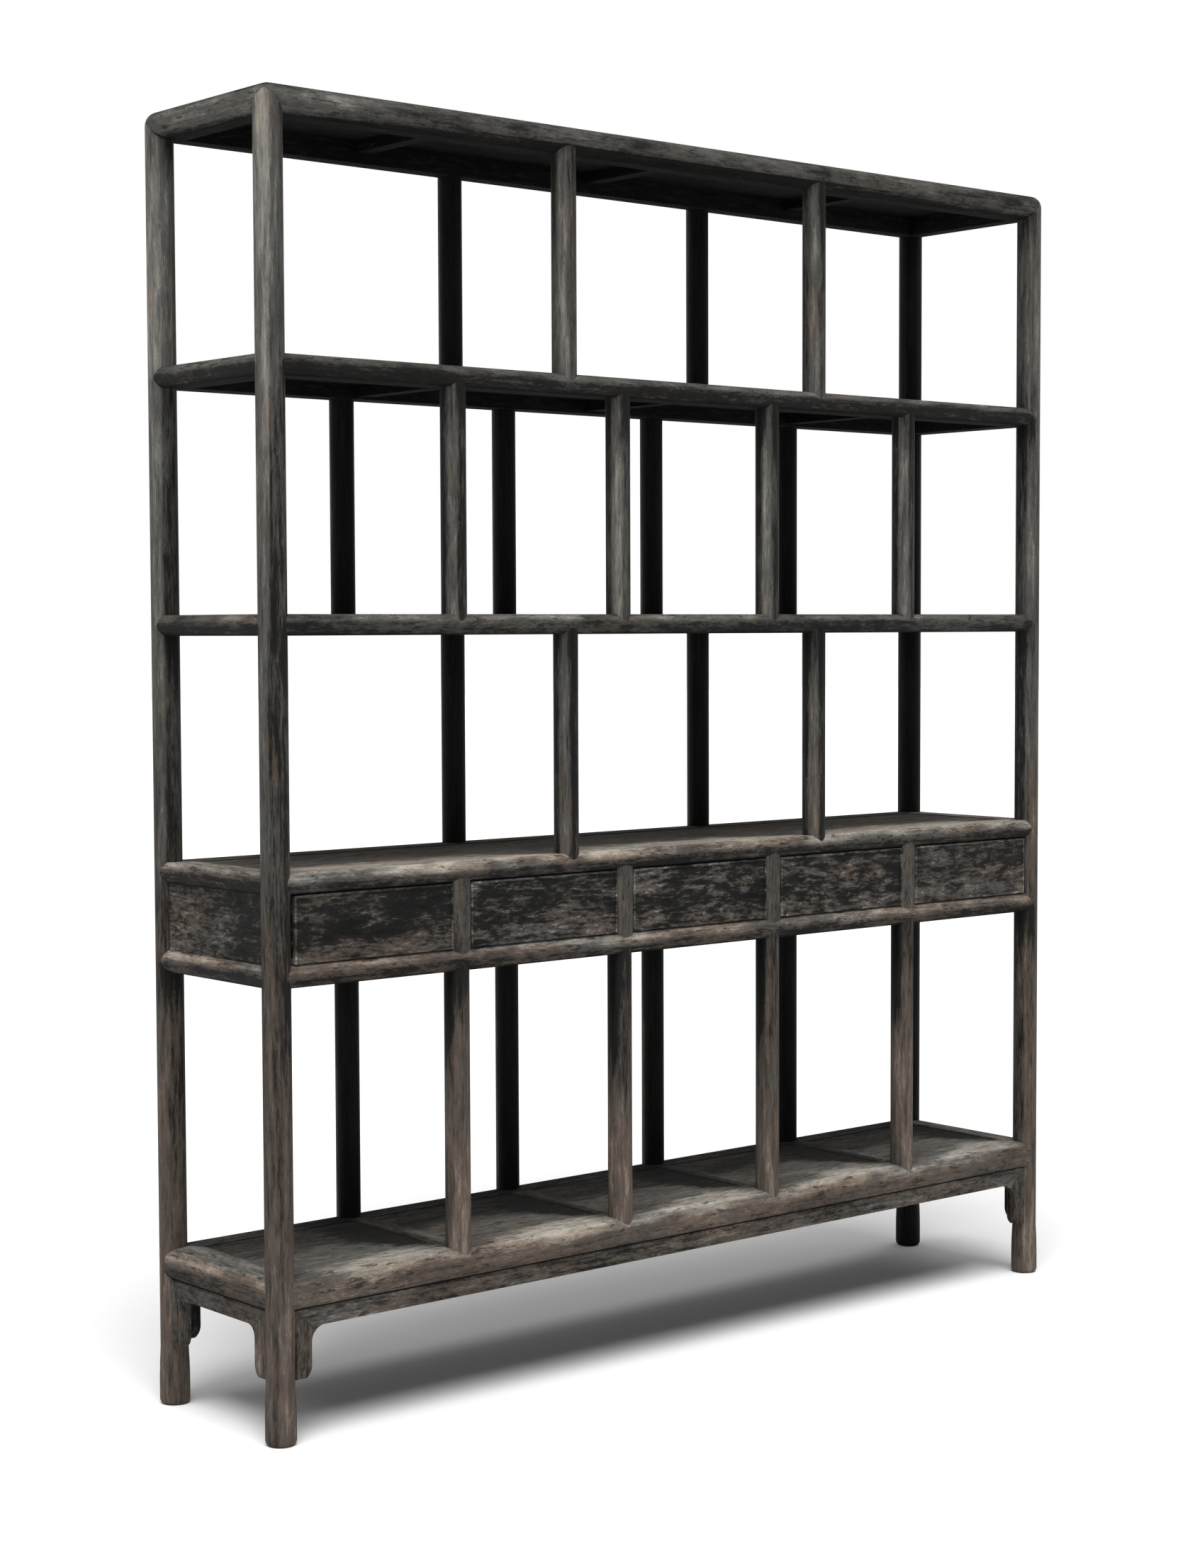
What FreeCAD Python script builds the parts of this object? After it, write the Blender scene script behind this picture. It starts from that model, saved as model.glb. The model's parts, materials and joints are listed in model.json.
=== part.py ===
import FreeCAD, Part
import math
import os

# Tall open bookcase of lacquered elm: four round corner posts, six framed levels,
# round uprights between them, a row of five drawers and aprons under the lowest level.
# Millimetres. The origin is on the floor under the middle of the case, the front
# faces -Y, +X is to the right seen from the front, +Z is up.

# Overall size, over the round corner posts
CASE_WIDTH = 1885.0
CASE_DEPTH = 375.0
CASE_HEIGHT = 2200.0

# Corner posts: round, with feet that swell a little and are eased at the floor
POST_RADIUS = 24.0
FOOT_RADIUS = 26.0
FOOT_SWELL_TOP = 98.0
FOOT_BELLY_HEIGHT = 38.0
FOOT_EASING = 9.0

# Tops of the lowest level and of the drawer floor above the floor, the height of the
# drawers' openings, and the tops of the two shelves, as shares of the space between
# the drawer case and the top frame
BASE_TOP = 273.0
DRAWER_FLOOR_TOP = 787.0
DRAWER_OPENING_HEIGHT = 115.0
SHELF_PLACE_SHARES = (0.345, 0.688)

# Rails of the levels
RAIL_THICKNESS = 35.0
DRAWER_FLOOR_THICKNESS = 37.0
BASE_THICKNESS = 52.0
RAIL_WIDTH = 60.0
TOP_RAIL_WIDTH = 56.0
RAIL_SETBACK = 1.5
RAIL_ROUNDING = 9.0

# Outer face of the top frame: round like the posts down to an arris below the middle of
# the round, then undercut to a line that stops short of that middle
ARRIS_DROP = 10.0
UNDERCUT_STOP = 4.0

# Outer face of the lowest frame: full and round above, tucked in at the foot
BASE_NOSE_DEPTH = 18.0
BASE_NOSE_DROP = 20.0
BASE_TUCK_DEPTH = 10.0
BASE_TUCK_RISE = 14.0

# Tenons of the rails in the corner posts
TENON_THICKNESS = 12.0
TENON_STOP = 9.0
TENON_SHOULDER = 8.0
TENON_ROOT = 10.0

# Three-way mitre at the top corners
TOP_TENON_SIZE = 16.0
TOP_TENON_COVER = 10.0
MITRE_TENON_WIDTH = 12.0
MITRE_TENON_THICKNESS = 12.0
MITRE_TENON_MARGIN = 2.0

# Round uprights between the levels
UPRIGHT_RADIUS = 22.0
UPRIGHT_SETBACK = 2.5
UPRIGHT_TENON_WIDTH = 12.0
UPRIGHT_TENON_DEPTH = 22.0
UPRIGHT_TENON_LENGTH = 14.0
WIDE_BAYS = 3
NARROW_BAYS = 5

# Panels of the levels, tongued into grooves in the rails
PANEL_THICKNESS = 10.0
PANEL_DROP = 1.0
TONGUE_THICKNESS = 5.0
TONGUE_DEPTH = 6.0

# Dovetailed battens across the underside of the panels
BATTEN_WIDTH = 30.0
BATTEN_HEIGHT = 20.0
BATTEN_TENON = 10.0
BATTEN_TENON_INSET = 5.0
DOVETAIL_HEIGHT = 3.0
DOVETAIL_NECK = 14.0
DOVETAIL_HEAD = 18.0
BATTEN_PLACE_SHARES = (-0.28, 0.0, 0.28)

# Cross rails of the lowest level
CROSS_RAIL_WIDTH = 44.0
CROSS_RAIL_THICKNESS = 35.0

# Stiles between the drawers and between the back panels
STILE_WIDTH = 36.0
STILE_DEPTH = 32.0
STILE_SETBACK = 4.0
STILE_ROUNDING = 4.0

# Side and back panels of the drawer case
SIDE_PANEL_THICKNESS = 10.0
SIDE_PANEL_SETBACK = 12.0
BACK_PANEL_THICKNESS = 8.0
BACK_PANEL_SETBACK = 16.0

# Guides on the drawer floor
GUIDE_HEIGHT = 20.0

# Drawers
DRAWER_FACE_SETBACK = 6.5
DRAWER_GAP = 1.5
DRAWER_LIFT = 0.3
DRAWER_FRONT_THICKNESS = 20.0
DRAWER_BEAD_WIDTH = 5.0
DRAWER_BEAD_HEIGHT = 1.5
DRAWER_SIDE_THICKNESS = 12.0
DRAWER_SIDE_DROP = 10.0
DRAWER_BACK_CLEARANCE = 4.0
DRAWER_BOTTOM_THICKNESS = 7.0
DRAWER_BOTTOM_RISE = 8.0
DRAWER_GROOVE_DEPTH = 6.0
DRAWER_TAIL_LENGTH = 13.0
DRAWER_TAIL_FLARE = 3.0
DRAWER_TAIL_MARGIN = 10.0
DRAWER_TAILS = 3

# Aprons under the lowest level, with a spandrel down each post
APRON_THICKNESS = 18.0
APRON_SETBACK = 8.0
APRON_HEIGHT = 31.0
APRON_TONGUE = 6.0
SPANDREL_BOTTOM = 106.0
SPANDREL_WIDTH = 28.0
SPANDREL_INNER_RADIUS = 26.0
END_SPANDREL_INNER_RADIUS = 20.0
SPANDREL_TOE_INSET = 11.0
SPANDREL_TOE_RISE = 20.0

# Share of a quarter arc's width that its middle point lies from the corner
QUARTER_SHARE = 1.0 - math.sqrt(0.5)
OVERRUN = 5.0

half_width = CASE_WIDTH / 2
half_depth = CASE_DEPTH / 2
post_x = half_width - POST_RADIUS
post_y = half_depth - POST_RADIUS
top_thickness = 2 * POST_RADIUS
case_top_height = DRAWER_FLOOR_TOP + DRAWER_OPENING_HEIGHT + RAIL_THICKNESS
shelf_space = CASE_HEIGHT - top_thickness - case_top_height
shelf_tops = [case_top_height + share * shelf_space for share in SHELF_PLACE_SHARES]


class Level:
    """One framed level: the height of its top, and its rails' thickness and outer face."""

    def __init__(self, name, top, thickness, width, face):
        self.name = name
        self.top = top
        self.thickness = thickness
        self.bottom = top - thickness
        self.middle = top - thickness / 2
        self.inner = width
        self.face = face
        self.panel_bottom = top - PANEL_DROP - PANEL_THICKNESS


def point(x, y, z):
    return FreeCAD.Vector(x, y, z)


def block(low, high):
    """Box between its lowest and its highest corner."""
    size = high - low
    return Part.makeBox(size.x, size.y, size.z, low)


def prism(corners, along):
    """Straight-sided outline pushed along a vector."""
    return Part.Face(Part.makePolygon(corners + corners[:1])).extrude(along)


def outline_face(start, steps):
    """Face inside lines and arcs: a step is its end, or the arc's middle and its end."""
    edges = []
    here = start
    for step in steps:
        if len(step) == 2:
            edges.append(Part.Arc(here, step[0], step[1]).toShape())
        else:
            edges.append(Part.makeLine(here, step[0]))
        here = step[-1]
    edges.append(Part.makeLine(here, start))
    return Part.Face(Part.Wire(edges))


def flip(shape, axis):
    """Mirror image across the middle plane of the case, along x or along y."""
    normal = point(1, 0, 0) if axis == "x" else point(0, 1, 0)
    return shape.mirror(point(0, 0, 0), normal)


def cut_all(shape, tools):
    return shape.cut(list(tools)) if tools else shape


def even_places(count):
    """Centres of the uprights that divide the case into equal bays."""
    pitch = 2 * post_x / count
    return [index * pitch - post_x for index in range(1, count)]


# Outer faces of the rails, as steps from the top inner corner to the bottom inner one.
# place(depth, drop) turns a depth behind the front and a drop below the top into a point.

def round_face(level, place):
    start = RAIL_SETBACK + RAIL_ROUNDING
    return [[place(start, 0)],
            [place(RAIL_SETBACK, level.thickness / 2), place(start, level.thickness)]]


def top_face(level, place):
    arris = POST_RADIUS - math.sqrt(POST_RADIUS ** 2 - ARRIS_DROP ** 2)
    turn = POST_RADIUS * QUARTER_SHARE
    return [[place(POST_RADIUS, 0)],
            [place(turn, turn), place(arris, POST_RADIUS + ARRIS_DROP)],
            [place(POST_RADIUS - UNDERCUT_STOP, level.thickness)]]


def base_face(level, place):
    nose = place(RAIL_SETBACK + BASE_NOSE_DEPTH * QUARTER_SHARE, BASE_NOSE_DROP * QUARTER_SHARE)
    tuck = place(RAIL_SETBACK + BASE_TUCK_DEPTH * QUARTER_SHARE,
                 level.thickness - BASE_TUCK_RISE * QUARTER_SHARE)
    return [[place(RAIL_SETBACK + BASE_NOSE_DEPTH, 0)],
            [nose, place(RAIL_SETBACK, BASE_NOSE_DROP)],
            [place(RAIL_SETBACK, level.thickness - BASE_TUCK_RISE)],
            [tuck, place(RAIL_SETBACK + BASE_TUCK_DEPTH, level.thickness)]]


rail_inner = RAIL_SETBACK + RAIL_WIDTH
base = Level("base", BASE_TOP, BASE_THICKNESS, rail_inner, base_face)
drawer_floor = Level("drawer_floor", DRAWER_FLOOR_TOP, DRAWER_FLOOR_THICKNESS, rail_inner, round_face)
case_top = Level("case_top", case_top_height, RAIL_THICKNESS, rail_inner, round_face)
shelf_2 = Level("shelf_2", shelf_tops[0], RAIL_THICKNESS, rail_inner, round_face)
shelf_1 = Level("shelf_1", shelf_tops[1], RAIL_THICKNESS, rail_inner, round_face)
top = Level("top", CASE_HEIGHT, top_thickness, TOP_RAIL_WIDTH, top_face)


def front_blank(level):
    """Front rail from post centre to post centre, before its ends are cut."""
    def place(depth, drop):
        return point(-post_x, depth - half_depth, level.top - drop)
    steps = level.face(level, place) + [[place(level.inner, level.thickness)]]
    return outline_face(place(level.inner, 0), steps).extrude(point(2 * post_x, 0, 0))


def left_blank(level):
    """Left end rail from post centre to post centre, before its ends are cut."""
    def place(depth, drop):
        return point(depth - half_width, -post_y, level.top - drop)
    steps = level.face(level, place) + [[place(level.inner, level.thickness)]]
    return outline_face(place(level.inner, 0), steps).extrude(point(0, 2 * post_y, 0))


def front_plan(level):
    """Plan of the front rail, mitred against the end rails, as deep as the level."""
    reach = level.inner
    corners = [point(-half_width, -half_depth, level.bottom),
               point(half_width, -half_depth, level.bottom),
               point(half_width - reach, reach - half_depth, level.bottom),
               point(reach - half_width, reach - half_depth, level.bottom)]
    return prism(corners, point(0, 0, level.thickness))


def left_plan(level):
    """Plan of the left end rail, mitred against the front and rear rails."""
    reach = level.inner
    corners = [point(-half_width, -half_depth, level.bottom),
               point(reach - half_width, reach - half_depth, level.bottom),
               point(reach - half_width, half_depth - reach, level.bottom),
               point(-half_width, half_depth, level.bottom)]
    return prism(corners, point(0, 0, level.thickness))


def post_blank():
    """Front left corner post: a turned foot, a straight shaft and a round head."""
    swell = (FOOT_SWELL_TOP + FOOT_BELLY_HEIGHT) / 2
    swell_radius = (POST_RADIUS + 3 * FOOT_RADIUS) / 4
    ease = FOOT_EASING * QUARTER_SHARE
    start = point(0, 0, 0)
    steps = [[point(FOOT_RADIUS - FOOT_EASING, 0, 0)],
             [point(FOOT_RADIUS - ease, 0, ease), point(FOOT_RADIUS, 0, FOOT_EASING)],
             [point(FOOT_RADIUS, 0, FOOT_BELLY_HEIGHT)],
             [point(swell_radius, 0, swell), point(POST_RADIUS, 0, FOOT_SWELL_TOP)],
             [point(POST_RADIUS, 0, CASE_HEIGHT - POST_RADIUS)],
             [point(POST_RADIUS * math.sqrt(0.5), 0, CASE_HEIGHT - POST_RADIUS * QUARTER_SHARE),
              point(0, 0, CASE_HEIGHT)]]
    shape = outline_face(start, steps).revolve(point(0, 0, 0), point(0, 0, 1), 360)
    shape.translate(point(-post_x, -post_y, 0))
    return shape


def corner_ball():
    """Eighth of a ball, above the front left post, that rounds the top frame's corner."""
    edge = POST_RADIUS * math.sqrt(0.5)
    steps = [[point(0, -POST_RADIUS, 0)],
             [point(-edge, -edge, 0), point(-POST_RADIUS, 0, 0)]]
    shape = outline_face(point(0, 0, 0), steps).revolve(point(0, 0, 0), point(-1, 0, 0), 90)
    shape.translate(point(-post_x, -post_y, CASE_HEIGHT - POST_RADIUS))
    return shape


def mitre_wedge(axis):
    """Space above the 45 degree mitre planes between the top rails along an axis and the posts."""
    reach = top.thickness
    if axis == "x":
        corners = [point(-half_width, -half_depth, CASE_HEIGHT),
                   point(half_width, -half_depth, CASE_HEIGHT),
                   point(half_width - reach, -half_depth, top.bottom),
                   point(reach - half_width, -half_depth, top.bottom)]
        return prism(corners, point(0, CASE_DEPTH, 0))
    corners = [point(-half_width, -half_depth, CASE_HEIGHT),
               point(-half_width, half_depth, CASE_HEIGHT),
               point(-half_width, half_depth - reach, top.bottom),
               point(-half_width, reach - half_depth, top.bottom)]
    return prism(corners, point(CASE_WIDTH, 0, 0))


def all_corners(shape):
    """The front left shape and its images at the other three corners."""
    right = flip(shape, "x")
    return [shape, right, flip(shape, "y"), flip(right, "y")]


def rail_tenon(level, axis):
    """Tenon at the front left corner, on the rail that runs along an axis."""
    near = POST_RADIUS + TENON_STOP
    far = 2 * POST_RADIUS + TENON_ROOT
    side = POST_RADIUS - TENON_THICKNESS / 2
    low = level.bottom + TENON_SHOULDER
    high = level.top - TENON_SHOULDER
    if axis == "x":
        return block(point(near - half_width, side - half_depth, low),
                     point(far - half_width, side + TENON_THICKNESS - half_depth, high))
    return block(point(side - half_width, near - half_depth, low),
                 point(side + TENON_THICKNESS - half_width, far - half_depth, high))


def bay_panel(level, left, right):
    """Panel between two x places, with a tongue all round, and that tongue's own block."""
    reach = half_depth - level.inner
    top_height = level.top - PANEL_DROP
    board = block(point(left, -reach, level.panel_bottom), point(right, reach, top_height))
    tongue = block(point(left - TONGUE_DEPTH, -reach - TONGUE_DEPTH, level.panel_bottom),
                   point(right + TONGUE_DEPTH, reach + TONGUE_DEPTH,
                         level.panel_bottom + TONGUE_THICKNESS))
    return board.fuse(tongue), tongue


def batten(level, x):
    """Batten under a panel: a bar with a dovetail along its top and a tenon at each end."""
    reach = half_depth - level.inner
    low = level.panel_bottom - BATTEN_HEIGHT
    half = BATTEN_WIDTH / 2
    bar = block(point(x - half, -reach, low), point(x + half, reach, level.panel_bottom))
    inset = BATTEN_TENON_INSET
    tenon = block(point(x - half + inset, -reach - BATTEN_TENON, low + inset),
                  point(x + half - inset, reach + BATTEN_TENON, level.panel_bottom - inset))
    neck = DOVETAIL_NECK / 2
    head = DOVETAIL_HEAD / 2
    ridge_top = level.panel_bottom + DOVETAIL_HEIGHT
    ridge = prism([point(x - neck, -reach, level.panel_bottom),
                   point(x + neck, -reach, level.panel_bottom),
                   point(x + head, -reach, ridge_top),
                   point(x - head, -reach, ridge_top)], point(0, 2 * reach, 0))
    return bar.fuse([tenon, ridge]).removeSplitter()


def cross_rail(level, x):
    """Cross rail of the lowest level, flush with the frame, tenoned into front and rear."""
    reach = half_depth - level.inner
    half = CROSS_RAIL_WIDTH / 2
    low = level.top - CROSS_RAIL_THICKNESS
    bar = block(point(x - half, -reach, low), point(x + half, reach, level.top))
    inset = TENON_SHOULDER
    tenon = block(point(x - half + inset, -reach - BATTEN_TENON, low + inset),
                  point(x + half - inset, reach + BATTEN_TENON, level.panel_bottom - inset / 2))
    return bar.fuse(tenon).removeSplitter()


def upright_tenon(x, y, low, high):
    return block(point(x - UPRIGHT_TENON_WIDTH / 2, y - UPRIGHT_TENON_DEPTH / 2, low),
                 point(x + UPRIGHT_TENON_WIDTH / 2, y + UPRIGHT_TENON_DEPTH / 2, high))


def front_upright(x, lower, upper):
    """Round upright, scribed over the rounded rails, with a tenon at each end."""
    y = UPRIGHT_SETBACK + UPRIGHT_RADIUS - half_depth
    shaft = Part.makeCylinder(UPRIGHT_RADIUS, upper.middle - lower.middle, point(x, y, lower.middle))
    shaft = shaft.cut([rail_blanks[lower.name], rail_blanks[upper.name]])
    tenon = upright_tenon(x, y, lower.top - UPRIGHT_TENON_LENGTH, upper.bottom + UPRIGHT_TENON_LENGTH)
    return shaft.fuse(tenon).removeSplitter()


def front_stile(x):
    """Stile between two drawers: convex in front, scribed over the rails, tenoned into them."""
    face = STILE_SETBACK - half_depth
    edge = face + STILE_ROUNDING
    rear = face + STILE_DEPTH
    half = STILE_WIDTH / 2
    low = drawer_floor.middle
    plan = outline_face(point(x - half, edge, low),
                        [[point(x, face, low), point(x + half, edge, low)],
                         [point(x + half, rear, low)],
                         [point(x - half, rear, low)]])
    bar = plan.extrude(point(0, 0, case_top.middle - low))
    bar = bar.cut([rail_blanks[drawer_floor.name], rail_blanks[case_top.name]])
    tenon = upright_tenon(x, UPRIGHT_SETBACK + UPRIGHT_RADIUS - half_depth,
                          drawer_floor.top - UPRIGHT_TENON_LENGTH,
                          case_top.bottom + UPRIGHT_TENON_LENGTH)
    return bar.fuse(tenon).removeSplitter()


def side_panel():
    """Left side panel of the drawer case, grooved into posts and end rails."""
    reach = post_y - POST_RADIUS + TONGUE_DEPTH
    left = SIDE_PANEL_SETBACK - half_width
    return block(point(left, -reach, drawer_floor.top - TONGUE_DEPTH),
                 point(left + SIDE_PANEL_THICKNESS, reach, case_top.bottom + TONGUE_DEPTH))


def back_panel(left, right):
    """One back panel of the drawer case, grooved into what stands on each side of it."""
    rear = half_depth - BACK_PANEL_SETBACK
    return block(point(left - TONGUE_DEPTH, rear - BACK_PANEL_THICKNESS, drawer_floor.top - TONGUE_DEPTH),
                 point(right + TONGUE_DEPTH, rear, case_top.bottom + TONGUE_DEPTH))


def drawer_guides():
    """Strips on the drawer floor between the drawers and along both side panels."""
    low = drawer_floor.top
    high = low + GUIDE_HEIGHT
    reach = half_depth - STILE_SETBACK - STILE_DEPTH
    strips = []
    for x in even_places(NARROW_BAYS):
        strips.append(block(point(x - STILE_WIDTH / 2, -reach, low), point(x + STILE_WIDTH / 2, reach, high)))
    inner = half_width - SIDE_PANEL_SETBACK - SIDE_PANEL_THICKNESS
    reach = post_y - POST_RADIUS
    end = block(point(-inner, -reach, low), point(2 * POST_RADIUS - half_width, reach, high))
    return strips + [end, flip(end, "x")]


def drawer(left, right):
    """Drawer for the opening between two x places: its front, and its sides, back and bottom."""
    low = drawer_floor.top + DRAWER_LIFT
    front_low = drawer_floor.top + DRAWER_GAP
    front_high = case_top.bottom - DRAWER_GAP
    left = left + DRAWER_GAP
    right = right - DRAWER_GAP
    face = DRAWER_FACE_SETBACK - half_depth
    inside = face + DRAWER_FRONT_THICKNESS
    end = half_depth - STILE_SETBACK - STILE_DEPTH - DRAWER_BACK_CLEARANCE
    side_top = front_high - DRAWER_SIDE_DROP
    front = block(point(left, face, front_low), point(right, inside, front_high))
    bead = DRAWER_BEAD_WIDTH
    field = block(point(left + bead, face - OVERRUN, front_low + bead),
                  point(right - bead, face + DRAWER_BEAD_HEIGHT, front_high - bead))
    front = front.cut(field)

    side = block(point(left, inside, low), point(left + DRAWER_SIDE_THICKNESS, end, side_top))
    pitch = (side_top - front_low - 2 * DRAWER_TAIL_MARGIN) / DRAWER_TAILS
    tails = []
    for index in range(DRAWER_TAILS):
        foot = front_low + DRAWER_TAIL_MARGIN + index * pitch
        head = foot + pitch - DRAWER_TAIL_MARGIN
        corners = [point(left, inside, foot + DRAWER_TAIL_FLARE),
                   point(left, inside - DRAWER_TAIL_LENGTH, foot),
                   point(left, inside - DRAWER_TAIL_LENGTH, head),
                   point(left, inside, head - DRAWER_TAIL_FLARE)]
        tails.append(prism(corners, point(DRAWER_SIDE_THICKNESS, 0, 0)))
    side = side.fuse(tails).removeSplitter()
    middle = (left + right) / 2
    other = side.mirror(point(middle, 0, 0), point(1, 0, 0))

    bottom_low = low + DRAWER_BOTTOM_RISE
    bottom_high = bottom_low + DRAWER_BOTTOM_THICKNESS
    groove = DRAWER_GROOVE_DEPTH
    bottom = block(point(left + DRAWER_SIDE_THICKNESS - groove, inside - groove, bottom_low),
                   point(right - DRAWER_SIDE_THICKNESS + groove, end, bottom_high))
    back = block(point(left + DRAWER_SIDE_THICKNESS - groove, end - DRAWER_SIDE_THICKNESS, bottom_high),
                 point(right - DRAWER_SIDE_THICKNESS + groove, end, side_top))
    front = front.cut([side, other, bottom])
    side = side.cut([bottom, back])
    other = other.cut([bottom, back])
    return front, [side, other, back, bottom]


def toe_middle():
    """Inset and rise of the middle of a spandrel's toe arc, which runs smoothly into its edge."""
    radius = (SPANDREL_TOE_INSET ** 2 + SPANDREL_TOE_RISE ** 2) / (2 * SPANDREL_TOE_INSET)
    half_turn = math.asin(SPANDREL_TOE_RISE / radius) / 2
    return radius * (1 - math.cos(half_turn)), SPANDREL_TOE_RISE - radius * math.sin(half_turn)


def front_apron():
    """Front apron with its two spandrels, tongued into the rail above it."""
    face = APRON_SETBACK - half_depth
    high = base.bottom
    low = high - APRON_HEIGHT
    inner = half_width - 2 * POST_RADIUS - SPANDREL_WIDTH
    turn = SPANDREL_INNER_RADIUS
    toe = inner + SPANDREL_TOE_INSET
    toe_top = SPANDREL_BOTTOM + SPANDREL_TOE_RISE
    turn_middle = turn * QUARTER_SHARE
    inset, rise = toe_middle()

    def at(x, z):
        return point(x, face, z)
    steps = [[at(-post_x, SPANDREL_BOTTOM)],
             [at(-toe, SPANDREL_BOTTOM)],
             [at(-inner - inset, SPANDREL_BOTTOM + rise), at(-inner, toe_top)],
             [at(-inner, low - turn)],
             [at(-inner + turn_middle, low - turn_middle), at(-inner + turn, low)],
             [at(inner - turn, low)],
             [at(inner - turn_middle, low - turn_middle), at(inner, low - turn)],
             [at(inner, toe_top)],
             [at(inner + inset, SPANDREL_BOTTOM + rise), at(toe, SPANDREL_BOTTOM)],
             [at(post_x, SPANDREL_BOTTOM)],
             [at(post_x, high)]]
    board = outline_face(at(-post_x, high), steps).extrude(point(0, APRON_THICKNESS, 0))
    middle = face + APRON_THICKNESS / 2
    tongue = block(point(-inner, middle - APRON_TONGUE / 2, high),
                   point(inner, middle + APRON_TONGUE / 2, high + APRON_TONGUE))
    return board.fuse(tongue), tongue


def left_apron():
    """Left apron with its two spandrels, tongued into the end rail above it."""
    face = APRON_SETBACK - half_width
    high = base.bottom
    low = high - APRON_HEIGHT
    inner = half_depth - 2 * POST_RADIUS - SPANDREL_WIDTH
    turn = END_SPANDREL_INNER_RADIUS
    toe = inner + SPANDREL_TOE_INSET
    toe_top = SPANDREL_BOTTOM + SPANDREL_TOE_RISE
    turn_middle = turn * QUARTER_SHARE
    inset, rise = toe_middle()

    def at(y, z):
        return point(face, y, z)
    steps = [[at(-post_y, SPANDREL_BOTTOM)],
             [at(-toe, SPANDREL_BOTTOM)],
             [at(-inner - inset, SPANDREL_BOTTOM + rise), at(-inner, toe_top)],
             [at(-inner, low - turn)],
             [at(-inner + turn_middle, low - turn_middle), at(-inner + turn, low)],
             [at(inner - turn, low)],
             [at(inner - turn_middle, low - turn_middle), at(inner, low - turn)],
             [at(inner, toe_top)],
             [at(inner + inset, SPANDREL_BOTTOM + rise), at(toe, SPANDREL_BOTTOM)],
             [at(post_y, SPANDREL_BOTTOM)],
             [at(post_y, high)]]
    board = outline_face(at(-post_y, high), steps).extrude(point(APRON_THICKNESS, 0, 0))
    middle = face + APRON_THICKNESS / 2
    tongue = block(point(middle - APRON_TONGUE / 2, -inner, high),
                   point(middle + APRON_TONGUE / 2, inner, high + APRON_TONGUE))
    return board.fuse(tongue), tongue


def top_tenon():
    """Square tenon on the head of the front left post, shared by both top rails."""
    low = POST_RADIUS - TOP_TENON_SIZE / 2
    high = low + TOP_TENON_SIZE
    return block(point(low - half_width, low - half_depth, top.bottom),
                 point(high - half_width, high - half_depth, CASE_HEIGHT - TOP_TENON_COVER))


def mitre_tenon():
    """Tenon of the left top rail in the front one, behind the post's own tenon."""
    near = POST_RADIUS + TOP_TENON_SIZE / 2 + MITRE_TENON_MARGIN
    middle = CASE_HEIGHT - POST_RADIUS
    return block(point(near - half_width, POST_RADIUS - TENON_STOP - half_depth,
                       middle - MITRE_TENON_THICKNESS / 2),
                 point(near + MITRE_TENON_WIDTH - half_width, top.inner - half_depth,
                       middle + MITRE_TENON_THICKNESS / 2))


levels = [base, drawer_floor, case_top, shelf_2, shelf_1, top]
rail_blanks = {level.name: front_blank(level) for level in levels}
posts = all_corners(post_blank())
parts = {}

# Uprights of each open row, with the levels below and above them and the number of bays
rows = [("row_1_uprights", shelf_1, top, WIDE_BAYS),
        ("row_2_uprights", shelf_2, shelf_1, NARROW_BAYS),
        ("row_3_uprights", case_top, shelf_2, WIDE_BAYS),
        ("row_4_uprights", base, drawer_floor, NARROW_BAYS)]
mortises = {level.name: [] for level in levels}
for row_name, lower, upper, bays in rows:
    fronts = [front_upright(x, lower, upper) for x in even_places(bays)]
    parts[row_name] = fronts + [flip(shape, "y") for shape in fronts]
    mortises[lower.name] += fronts
    mortises[upper.name] += fronts
stiles = [front_stile(x) for x in even_places(NARROW_BAYS)]
mortises[drawer_floor.name] += stiles
mortises[case_top.name] += stiles
parts["drawer_stiles"] = stiles
parts["back_stiles"] = [flip(shape, "y") for shape in stiles]

# Panels and what crosses under or between them
inner_x = half_width - rail_inner
for level in levels:
    if level is base:
        bars = [cross_rail(level, x) for x in even_places(NARROW_BAYS)]
        edges = [-inner_x]
        for x in even_places(NARROW_BAYS):
            edges += [x - CROSS_RAIL_WIDTH / 2, x + CROSS_RAIL_WIDTH / 2]
        edges.append(inner_x)
        boards = [bay_panel(level, edges[index], edges[index + 1]) for index in range(0, len(edges), 2)]
        tongues = [tongue for board, tongue in boards]
        parts["base_panels"] = [board for board, tongue in boards]
        parts["base_cross_rails"] = [cut_all(bar, tongues) for bar in bars]
    else:
        bars = [batten(level, share * CASE_WIDTH) for share in BATTEN_PLACE_SHARES]
        reach = half_width - level.inner
        board, tongue = bay_panel(level, -reach, reach)
        tongues = [tongue]
        parts[level.name + "_panel"] = [board.cut(bars)]
        parts[level.name + "_battens"] = bars
    mortises[level.name] += tongues + bars

# Side and back panels of the drawer case
side = side_panel()
sides = [side, flip(side, "x")]
edges = [2 * POST_RADIUS - half_width]
for x in even_places(NARROW_BAYS):
    edges += [x - STILE_WIDTH / 2, x + STILE_WIDTH / 2]
edges.append(half_width - 2 * POST_RADIUS)
bays = [(edges[index], edges[index + 1]) for index in range(0, len(edges), 2)]
backs = [back_panel(left, right) for left, right in bays]
parts["case_side_left"] = [sides[0]]
parts["case_side_right"] = [sides[1]]
parts["case_back_panels"] = backs
parts["back_stiles"] = [stile.cut(backs) for stile in parts["back_stiles"]]
parts["drawer_guides"] = drawer_guides()

# Aprons, cut round the posts
apron, apron_tongue = front_apron()
end_apron, end_apron_tongue = left_apron()
apron = apron.cut(posts)
end_apron = end_apron.cut(posts)
parts["apron_front"] = [apron]
parts["apron_rear"] = [flip(apron, "y")]
parts["apron_left"] = [end_apron]
parts["apron_right"] = [flip(end_apron, "x")]
mortises[base.name] += [apron_tongue, end_apron_tongue]

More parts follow.
